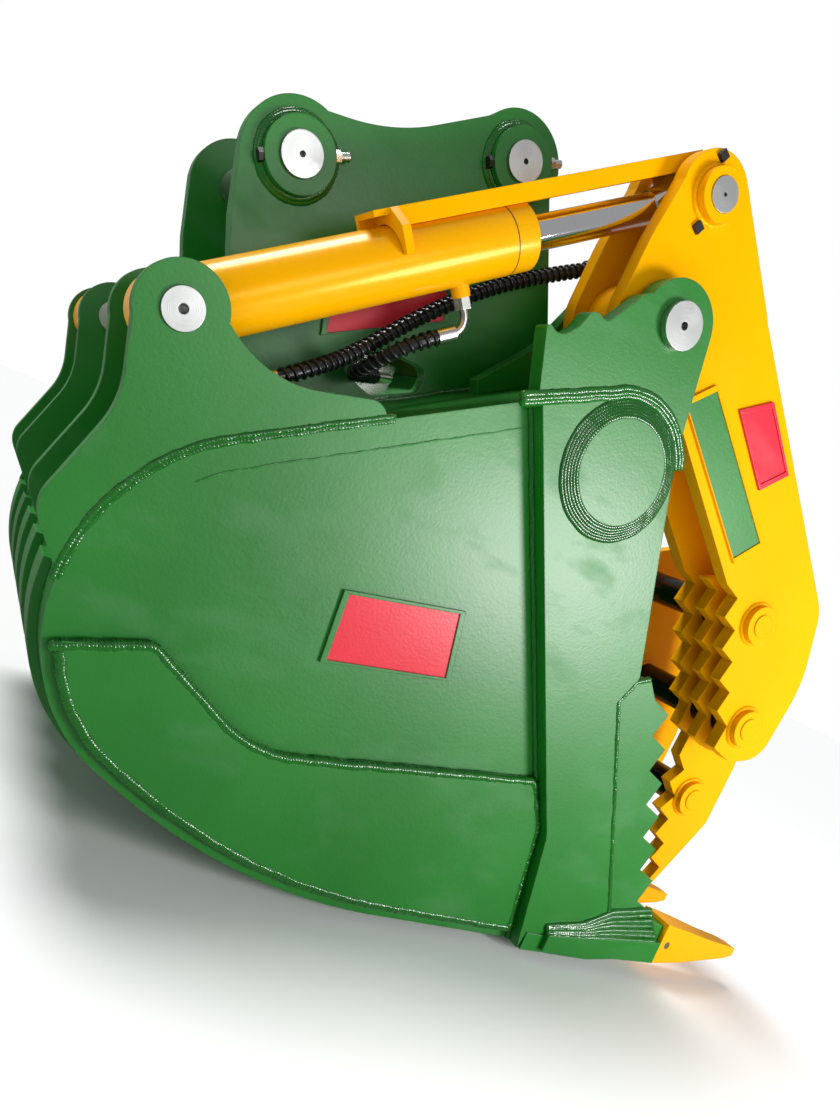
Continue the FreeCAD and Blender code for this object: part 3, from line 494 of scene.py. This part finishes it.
# hose with a spiral guard wound on it
def hoseTree():
    made = Shaping("guardedHose", [("Hose", "Float"), ("Pitch", "Float"), ("Band", "Float"),
                                   ("Finish", "Material")])
    run = made.node("GeometryNodeResampleCurve", {"mode": "LENGTH"}, {
        "Curve": made.given("Geometry"), "Length": made.given("Pitch") / guardShape["steps"]})
    core = made.swept(run, made.given("Hose"), guardShape["hoseSides"])
    along = Reading(made, made.node("GeometryNodeSplineParameter").outputs["Length"])
    turn = along / made.given("Pitch") * (2 * math.pi)
    heading = made.node("GeometryNodeInputTangent").outputs[0]
    up = made.node("GeometryNodeInputNormal").outputs[0]
    aside = made.vector("CROSS_PRODUCT", {0: heading, 1: up})
    reach = made.given("Hose") + made.given("Band") * guardShape["above"]
    first = made.vector("SCALE", {0: up, "Scale": made.maths("COSINE", turn) * reach})
    second = made.vector("SCALE", {0: aside, "Scale": made.maths("SINE", turn) * reach})
    wound = made.node("GeometryNodeSetPosition", {}, {
        "Geometry": run.outputs[0], "Offset": made.vector("ADD", {0: first, 1: second})})
    guard = made.swept(wound, made.given("Band"), guardShape["bandSides"])
    return made.finish(made.join(core, guard))


weldShape = weldTree()
hoseShape = hoseTree()


# runs a tree on the paths and leaves a plain mesh piece
def shaped(name, paths, tree, values, nurbs=False, closed=False):
    data = bpy.data.curves.new(name + "Run", "CURVE")
    data.dimensions = "3D"
    for path in paths:
        spline = data.splines.new("NURBS" if nurbs else "POLY")
        spline.points.add(len(path) - 1)
        for point, place in zip(spline.points, path):
            point.co = (*place, 1)
        if nurbs:
            spline.order_u = 3
            spline.use_endpoint_u = True
            spline.resolution_u = 24
        spline.use_cyclic_u = closed
    holder = bpy.data.objects.new(name + "Run", data)
    bpy.context.scene.collection.objects.link(holder)
    modifier = holder.modifiers.new("shape", "NODES")
    modifier.node_group = tree
    for item in tree.interface.items_tree:
        if item.item_type == "SOCKET" and item.in_out == "INPUT" and item.name in values:
            modifier[item.identifier] = values[item.name]
    bpy.context.view_layer.update()
    ready = holder.evaluated_get(bpy.context.evaluated_depsgraph_get())
    mesh = bpy.data.meshes.new_from_object(ready)
    made = bpy.data.objects.new(name, mesh)
    bpy.context.scene.collection.objects.link(made)
    bpy.data.objects.remove(holder)
    return made


# hydraulic hoses, from the ferrules on the barrels to the manifold and the couplers
hoses = {
    "shape": {"Hose": 0.009, "Pitch": 0.0115, "Band": 0.0026, "Finish": hoseBlack},
    "rod": [(-0.29672, -0.300, 0.81715), (-0.33084, -0.300, 0.78937), (-0.350, -0.268, 0.754),
            (-0.356, -0.224, 0.733), (-0.330, -0.168, 0.741), (-0.282, -0.120, 0.758)],
    "base": [(-0.47895, -0.300, 0.66877), (-0.44483, -0.300, 0.69655), (-0.384, -0.262, 0.746),
             (-0.292, -0.236, 0.862), (-0.176, -0.216, 0.975), (-0.066, -0.214, 1.050)],
}
for side, word in sides:
    for kind in ("rod", "base"):
        route = [(x, -side * y, z) for x, y, z in hoses[kind]]
        piece = shaped(kind + "Hose_" + word, [route], hoseShape, hoses["shape"], nurbs=True)
        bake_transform(piece)
        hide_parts(kind + "_hoses")
print("hoses wound")


# outer faces of the plates, measured from the middle of the bucket
plateFaces = {"side": 0.369, "cheek": 0.397, "hanger": 0.1645, "arm": 0.362, "tine": 0.262}
shell = {"floor": 0.012, "lipX": 0.222, "heelX": -0.270, "heelR": 1.0, "backX": -0.641,
         "lowZ": 0.203, "lowR": 0.240, "highZ": 0.497, "highR": 0.260, "roofX": -0.160,
         "rise": 0.6151}
tube = {"x": 0.013, "z": 0.764, "capR": 0.0785, "seamR": 0.115}
# cross tubes of the claw: x, z and the plate face where each one ends
crossTubes = ((0.472, 0.663, plateFaces["arm"]), (0.560, 0.485, plateFaces["arm"]),
              (0.638, 0.308, plateFaces["tine"]))


def onRoof(x):
    return x, shell["highZ"] + (x - shell["backX"]) * shell["rise"]


# outline of the side plate from the lip round the heel to the end of the roof
heelPath = rounded([(shell["lipX"], shell["floor"]), (shell["heelX"], shell["floor"]),
                    (shell["backX"], shell["lowZ"]), (shell["backX"], shell["highZ"]),
                    onRoof(shell["roofX"])], [shell["heelR"], shell["lowR"], shell["highR"]])
bead = {"Width": 0.010, "Ripple": 0.0042, "Relief": 0.12, "Wobble": 0.004, "Seed": 1,
        "Finish": weldGreen}


# weld beads on the paths; look holds what differs from the usual bead
def laid(name, paths, body, look, closed=False):
    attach(shaped(name, paths, weldShape, {**bead, **look}, closed=closed), body)


# a run of beads side by side between two paths of the same number of points
def layered(first, last, count, wobble, seed):
    draw = random.Random(seed)
    runs = []
    for i in range(count):
        t = i / (count - 1)
        runs.append([tuple(a + (b - a) * t + draw.uniform(-wobble, wobble) for a, b in zip(p, q))
                     for p, q in zip(first, last)])
    return runs


def mirrored(path, side):
    return [(x, side * y, z) for x, y, z in path]


# foot of the outer ears: two rows, each a step across the seam and a depth under the face
earWeld = {"bead": {"Relief": 0.1, "Seed": 2}, "rows": ((-0.003, 0.002), (0.003, 0.0035)),
           "above": 0.345, "behind": -0.335, "end": -0.338}
earSeam = [(x, z) for x, z in heelPath if x < earWeld["behind"] and z > earWeld["above"]]
earSeam.append(onRoof(earWeld["end"]))
for side, word in sides:
    rows = [atY(shifted(earSeam, step), side * (plateFaces["side"] - deep))
            for step, deep in earWeld["rows"]]
    laid("earWeld_" + word, rows, "root", earWeld["bead"])

# round the lower wear plate
wearWelds = {"bead": {"Width": 0.0165, "Seed": 3}, "inset": 0.021, "below": 0.27, "proud": 0.006,
             "top": [(-0.616, 0.274), (-0.508, 0.308), (-0.330, 0.206), (0.138, 0.280),
                     (0.186, 0.212)], "topRadii": [0.016, 0.190, 0.010, 0.060]}
wearLow = [(x, z) for x, z in shifted(heelPath, wearWelds["inset"]) if z < wearWelds["below"]]
wearFront = (shell["lipX"], shell["floor"] + wearWelds["inset"])
wearTop = rounded(wearWelds["top"] + [wearFront], wearWelds["topRadii"])
for side, word in sides:
    y = side * (plateFaces["side"] + wearWelds["proud"])
    laid("wearWelds_" + word, [atY(wearLow, y), atY(wearTop, y)], "root", wearWelds["bead"])

# faint ridge where the roof sheet meets the side plate from behind
innerEdge = {"bead": {"Width": 0.0026, "Relief": 0.0, "Seed": 16, "Finish": greenPaint},
             "inset": 0.036, "above": 0.5, "behind": -0.2, "roof": (-0.3, -0.17), "deep": 0.0002}
ridge = [(x, z) for x, z in shifted(heelPath, innerEdge["inset"])
         if x < innerEdge["behind"] and z > innerEdge["above"]]
ridge.append(shifted([onRoof(x) for x in innerEdge["roof"]], innerEdge["inset"])[1])
for side, word in sides:
    laid("innerEdge_" + word, [atY(ridge, side * (plateFaces["side"] - innerEdge["deep"]))],
         "root", innerEdge["bead"])

# rear edge of the cheek plate
cheekWeld = {"bead": {"Seed": 4}, "aside": 0.002, "proud": 0.002, "from": -0.158,
             "bend": (0.196, 0.205), "to": (0.240, 0.016), "radius": 0.070}
cheekSeam = rounded([onRoof(cheekWeld["from"]), cheekWeld["bend"], cheekWeld["to"]],
                    [cheekWeld["radius"]])
for side, word in sides:
    y = side * (plateFaces["side"] + cheekWeld["proud"])
    laid("cheekWeld_" + word, [atY(shifted(cheekSeam, cheekWeld["aside"]), y)], "root",
         cheekWeld["bead"])

# seam of the pivot lobe over the tube's cap: three rows
lobeWeld = {"bead": {"Width": 0.0125, "Relief": 0.05, "Seed": 5}, "start": (-0.188, 0.786),
            "arc": (122, 26), "points": 34,
            "rows": ((-0.004, 0.002), (0.002, 0.001), (0.007, 0.003))}
lobeSeam = [lobeWeld["start"]] + arc(tube["x"], tube["z"], tube["seamR"], *lobeWeld["arc"],
                                     lobeWeld["points"])
for side, word in sides:
    rows = [atY(shifted(lobeSeam, step), side * (plateFaces["cheek"] - deep))
            for step, deep in lobeWeld["rows"]]
    laid("lobeWeld_" + word, rows, "root", lobeWeld["bead"])

# round the serrated side cutter
cutterWelds = {"bead": {"Width": 0.0105, "Seed": 6}, "runs": (
    [(0.213, 0.3945, 0.448), (0.403, 0.3945, 0.108), (0.412, 0.3945, 0.086)],
    [(0.213, 0.3935, 0.448), (0.231, 0.3935, 0.489), (0.256, 0.3925, 0.500)])}
for side, word in sides:
    runs = [mirrored(run, side) for run in cutterWelds["runs"]]
    laid("cutterWelds_" + word, runs, "root", cutterWelds["bead"])

# cone of fine passes round the tube's cap, in a darker weld green that paints shade onto the cone
capWelds = {"bead": {"Width": 0.0105, "Relief": 0.03, "Wobble": 0.0025, "Seed": 7,
                     "Finish": weldDeep},
            "passes": 6, "points": 72, "gap": 0.002, "pitch": 0.0042, "proud": 0.0045,
            "fall": 0.0013}
for side, word in sides:
    rings = []
    for i in range(capWelds["passes"]):
        radius = tube["capR"] + capWelds["gap"] + capWelds["pitch"] * i
        y = side * (plateFaces["cheek"] + capWelds["proud"] - capWelds["fall"] * i)
        rings.append(atY(ring(tube["x"], tube["z"], radius, capWelds["points"]), y))
    laid("capWelds_" + word, rings, "root", capWelds["bead"], closed=True)

# two passes round each hitch boss
hitchWelds = {"bead": {"Width": 0.011, "Relief": 0.06, "Seed": 9},
              "passes": ((0.0525, 0.003), (0.0565, 0.0))}
for side, word in sides:
    collars = [atY(ring(*pinAxes[pin], radius), side * (plateFaces["hanger"] + rise))
               for pin in hitchPins for radius, rise in hitchWelds["passes"]]
    laid("hitchWelds_" + word, collars, "root", hitchWelds["bead"], closed=True)

# round the claw's bosses
bossWelds = {"bead": {"Width": 0.009, "Relief": 0.06, "Seed": 11, "Finish": weldYellow},
             "tubeR": 0.037, "pinR": 0.041}
for side, word in sides:
    bosses = [atY(ring(x, z, bossWelds["tubeR"]), side * face) for x, z, face in crossTubes]
    bosses.append(atY(ring(*pinAxes["rod_pin"], bossWelds["pinR"]), side * plateFaces["arm"]))
    laid("bossWelds_" + word, bosses, "claw", bossWelds["bead"], closed=True)

# where the cross tubes go into the plates, seen between the arms
tubeWelds = {"bead": {"Seed": 17, "Finish": weldYellow}, "radius": 0.0315,
             "at": (0.0985, 0.2375, 0.3375)}
for side, word in sides:
    rings = [atY(ring(x, z, tubeWelds["radius"]), side * y)
             for x, z, face in crossTubes for y in tubeWelds["at"] if y < face]
    laid("tubeWelds_" + word, rings, "claw", tubeWelds["bead"], closed=True)

# claw hub on the inner face of the arm
hubWeld = {"bead": {"Width": 0.009, "Seed": 12, "Finish": weldYellow}, "radius": 0.064,
           "at": 0.3375}
for side, word in sides:
    hubRing = atY(ring(*pinAxes["claw_pivot_pin"], hubWeld["radius"]), side * hubWeld["at"])
    laid("hubWeld_" + word, [hubRing], "claw", hubWeld["bead"], closed=True)

# fillet built up in layers between the corner tooth's strap and the cheek plate
cornerWelds = {
    "bead": {"Width": 0.0105, "Ripple": 0.005, "Wobble": 0.002, "Seed": 13},
    "strap": [(0.290, 0.4025, 0.047), (0.360, 0.4025, 0.053), (0.430, 0.4025, 0.0595),
              (0.540, 0.4025, 0.069)],
    "cheek": [(0.283, 0.398, 0.060), (0.357, 0.398, 0.074), (0.412, 0.397, 0.104),
              (0.500, 0.396, 0.122)],
    "layers": 7, "ragged": 0.0006, "draws": 13}
for side, word in sides:
    layers = layered(mirrored(cornerWelds["strap"], side), mirrored(cornerWelds["cheek"], side),
                     cornerWelds["layers"], cornerWelds["ragged"], cornerWelds["draws"])
    laid("cornerWelds_" + word, layers, "root", cornerWelds["bead"])

# foot of the hanger plate on the roof
hangerWeld = {"bead": {"Seed": 15}, "ends": (-0.480, -0.060), "proud": 0.001, "lift": 0.001}
for side, word in sides:
    foot = [(x, z + hangerWeld["lift"]) for x, z in map(onRoof, hangerWeld["ends"])]
    laid("hangerWeld_" + word, [atY(foot, side * (plateFaces["hanger"] + hangerWeld["proud"]))],
         "root", hangerWeld["bead"])
print("welds laid")


# bare plates with raised rims
plates = {
    "side": {"corners": [(-0.303, 0.455), (-0.112, 0.489), (-0.087, 0.386), (-0.293, 0.353)],
             "on": "side", "body": "root", "fill": redPaint, "rim": greenPaint},
    "hanger": {"corners": [(-0.404, 0.765), (-0.421, 0.819), (-0.241, 0.924), (-0.225, 0.879)],
               "on": "hanger", "body": "root", "fill": redPaint, "rim": greenPaint},
    "arm": {"corners": [(0.211, 0.952), (0.272, 0.995), (0.378, 0.910), (0.330, 0.862)],
            "on": "arm", "body": "claw", "fill": redPaint, "rim": redPaint},
    "strip": {"corners": [(0.098, 0.915), (0.144, 0.963), (0.395, 0.784), (0.350, 0.735)],
              "on": "arm", "body": "claw", "fill": greenPaint, "rim": yellowPaint},
}
plateSizes = {"thick": 0.0025, "rimWide": 0.0065, "rimThick": 0.0045, "corner": 1.5}


def insetCorners(corners):
    centre = Vector((sum(x for x, z in corners) / 4, sum(z for x, z in corners) / 4))
    made = []
    for corner in corners:
        away = Vector(corner) - centre
        made.append(tuple(
            centre + away * (1 - plateSizes["rimWide"] / away.length * plateSizes["corner"])))
    return made


for side, word in sides:
    for label, look in plates.items():
        outer, face = look["corners"], plateFaces[look["on"]]
        inner = insetCorners(outer)
        meshPiece(label + "Plate_" + word, slab(inner, side, face, plateSizes["thick"]),
                  look["fill"], look["body"])
        bars = []
        for i in range(4):
            j = (i + 1) % 4
            bars.append(slab([outer[i], outer[j], inner[j], inner[i]], side, face,
                             plateSizes["rimThick"]))
        meshPiece(label + "Rim_" + word, joined(bars), look["rim"], look["body"])
print("plates set")


# square heads beside the boss of the rod pin
bossBolts = {"across": 0.014, "high": 0.006, "reach": 0.054, "at": (112, 262), "turn": 20}
for side, word in sides:
    heads = []
    for turn in bossBolts["at"]:
        x = pinAxes["rod_pin"][0] + bossBolts["reach"] * math.cos(math.radians(turn))
        z = pinAxes["rod_pin"][1] + bossBolts["reach"] * math.sin(math.radians(turn))
        square = arc(x, z, bossBolts["across"] / math.sqrt(2), bossBolts["turn"],
                     bossBolts["turn"] + 270, 4)
        heads.append(slab(square, side, plateFaces["arm"], bossBolts["high"]))
    meshPiece("bossBolts_" + word, joined(heads), boltBlack, "claw")

# dust seal on the inner end of the claw hub
hubSeal = {"radius": 0.066, "bore": 0.058, "from": 0.2285, "thick": 0.003, "sides": 40}
for side, word in sides:
    outer = ring(*pinAxes["claw_pivot_pin"], hubSeal["radius"], hubSeal["sides"])
    inner = ring(*pinAxes["claw_pivot_pin"], hubSeal["bore"], hubSeal["sides"])
    parts = []
    for i in range(hubSeal["sides"]):
        j = (i + 1) % hubSeal["sides"]
        parts.append(slab([outer[i], outer[j], inner[j], inner[i]], side, hubSeal["from"],
                          hubSeal["thick"]))
    meshPiece("hubSeal_" + word, joined(parts), sealBlack, "claw")

# retaining bolts through the hitch bosses: black head behind, bright nut and stud in front
hitchBolt = {"radius": 0.0095, "flats": 6, "head": 0.009, "nut": 0.011, "stud": 0.0065,
             "studSides": 16, "proud": 0.024, "reach": 0.049, "y": 0.1745}
(rearX, rearZ), (frontX, frontZ) = pinAxes["hitch_pin_rear"], pinAxes["hitch_pin_front"]
boltWay = Vector((frontX - rearX, 0, frontZ - rearZ)).normalized()
for side, word in sides:
    dark, bright = [], []
    for pin in hitchPins:
        x, z = pinAxes[pin]
        middle = Vector((x, side * hitchBolt["y"], z))
        rear = middle - boltWay * hitchBolt["reach"]
        front = middle + boltWay * hitchBolt["reach"]
        dark.append(prism(rear, rear - boltWay * hitchBolt["head"], hitchBolt["radius"],
                          hitchBolt["flats"]))
        bright.append(prism(front, front + boltWay * hitchBolt["nut"], hitchBolt["radius"],
                            hitchBolt["flats"]))
        bright.append(prism(front, front + boltWay * hitchBolt["proud"], hitchBolt["stud"],
                            hitchBolt["studSides"]))
    meshPiece("hitchBoltHeads_" + word, joined(dark), boltBlack, "root")
    meshPiece("hitchBoltEnds_" + word, joined(bright), zincSteel, "root")

# discs in the ends of the cross tubes
tubeEnd = {"radius": 0.021, "sides": 24, "high": 0.0022, "bossHigh": 0.014}
for side, word in sides:
    ends = [slab(ring(x, z, tubeEnd["radius"], tubeEnd["sides"]), side,
                 face + tubeEnd["bossHigh"], tubeEnd["high"]) for x, z, face in crossTubes]
    meshPiece("tubeEnds_" + word, joined(ends), yellowPaint, "claw")

# painted shadow line where the gland is screwed into the barrel: a thin black band
barrelSeamShadow = {"at": 0.4661, "radius": 0.0473, "sides": 64, "half": 0.0007, "y": 0.300,
              "along": (0.77547, 0, 0.63140)}
baseX, baseZ = pinAxes["cylinder_base_pins"]
for side, word in sides:
    ahead = Vector(barrelSeamShadow["along"])
    middle = Vector((baseX, side * barrelSeamShadow["y"], baseZ)) + ahead * barrelSeamShadow["at"]
    line = prism(middle - ahead * barrelSeamShadow["half"], middle + ahead * barrelSeamShadow["half"],
                 barrelSeamShadow["radius"], barrelSeamShadow["sides"])
    meshPiece("barrelSeamShadow_" + word, line, boltBlack, "barrel_" + word)
print("small fittings set")


# the floor is white to the camera and dim in metal, and keeps the shadow
floorLook = {"plain": 0.8, "seen": 0.86, "glow": 0.02, "inMetal": 0.22, "half": 30,
             "under": -0.0005}


def grey(level):
    return (level, level, level, 1)


def floorFinish():
    made = Finish("floorFinish")
    made.feed(Base_Color=grey(floorLook["plain"]), Roughness=0.9)
    rays = made.node("ShaderNodeLightPath")
    lit = made.node("ShaderNodeBsdfDiffuse", {}, {"Color": grey(floorLook["seen"])})
    glow = made.node("ShaderNodeEmission", {}, {
        "Color": grey(1), "Strength": floorLook["glow"]})
    bright = made.node("ShaderNodeAddShader", {}, {0: lit.outputs[0], 1: glow.outputs[0]})
    dim = made.node("ShaderNodeEmission", {}, {
        "Color": grey(1), "Strength": floorLook["inMetal"]})
    first = made.node("ShaderNodeMixShader", {}, {
        0: rays.outputs["Is Glossy Ray"], 1: made.shader.outputs[0], 2: dim.outputs[0]})
    pick = made.node("ShaderNodeMixShader", {}, {
        0: rays.outputs["Is Camera Ray"], 1: first.outputs[0], 2: bright.outputs[0]})
    made.put(made.output.inputs["Surface"], pick.outputs[0])
    return made.material


floorCorners = [(x * floorLook["half"], y * floorLook["half"], floorLook["under"])
                for x, y in ((-1, -1), (1, -1), (1, 1), (-1, 1))]
floor = meshPiece("floor", (floorCorners, [(0, 1, 2, 3)]), floorFinish(), None)

# white to the camera and through glass, dimmer in shiny paint, and a soft fill light
skyLook = {"colour": (0.92, 0.96, 1.0, 1), "fill": 0.15, "inPaint": 0.24}
world = bpy.data.worlds.new("studio")
bpy.context.scene.world = world
world.use_nodes = True
sky = Nodes(world.node_tree)
rays = sky.node("ShaderNodeLightPath")
soft = sky.node("ShaderNodeBackground", {}, {
    "Color": skyLook["colour"], "Strength": skyLook["fill"]})
white = sky.node("ShaderNodeBackground", {}, {"Color": grey(1), "Strength": 1.0})
shown = (Reading(sky, rays.outputs["Is Camera Ray"])
         + Reading(sky, rays.outputs["Is Transmission Ray"])
         + Reading(sky, rays.outputs["Is Glossy Ray"]) * skyLook["inPaint"])
pick = sky.node("ShaderNodeMixShader", {}, {0: shown, 1: soft.outputs[0], 2: white.outputs[0]})
sky.node("ShaderNodeOutputWorld", {}, {"Surface": pick.outputs[0]})

# area lamps: place, size and power, all aimed at the middle of the bucket
lamps = {"sheen": ((1.45, -2.3, 0.7), 0.7, 50.0), "front": ((0.2, -3.0, 1.5), 0.8, 12.0),
         "left": ((-2.2, -0.6, 0.9), 0.8, 1.5)}
lampAim = Vector((0, 0, 0.55))
sunLook = {"strength": 3.3, "spread": 26, "way": (0.35, -0.3, -1.0)}


def addLamp(name, kind, strength, way, place=(0, 0, 0)):
    data = bpy.data.lights.new(name, kind)
    data.energy = strength
    lamp = bpy.data.objects.new(name, data)
    bpy.context.scene.collection.objects.link(lamp)
    lamp.location = place
    lamp.rotation_euler = Vector(way).to_track_quat("-Z", "Y").to_euler()
    return data


for name, (place, size, power) in lamps.items():
    area = addLamp(name, "AREA", power, lampAim - Vector(place), place)
    area.size = size
sun = addLamp("sun", "SUN", sunLook["strength"], sunLook["way"])
sun.angle = math.radians(sunLook["spread"])

# camera at the photograph's viewing angle
eye = {"place": (-0.806, -1.369, 0.562), "right": (0.80155, -0.43338, 0.41194),
       "down": (0.33408, -0.24677, -0.90967), "ahead": (0.49589, 0.86677, -0.05302),
       "lens": 27.32, "sensor": 36.0, "shift": (0.0179, 0.0134)}
lens = bpy.data.cameras.new("eye")
lens.lens = eye["lens"]
lens.sensor_width = eye["sensor"]
lens.shift_x, lens.shift_y = eye["shift"]
camera = bpy.data.objects.new("eye", lens)
bpy.context.scene.collection.objects.link(camera)
turn = Matrix((eye["right"], [-part for part in eye["down"]],
               [-part for part in eye["ahead"]])).transposed()
camera.matrix_world = Matrix.Translation(eye["place"]) @ turn.to_4x4()
bpy.context.scene.camera = camera
bpy.context.scene.view_settings.view_transform = "Standard"
print("studio set")
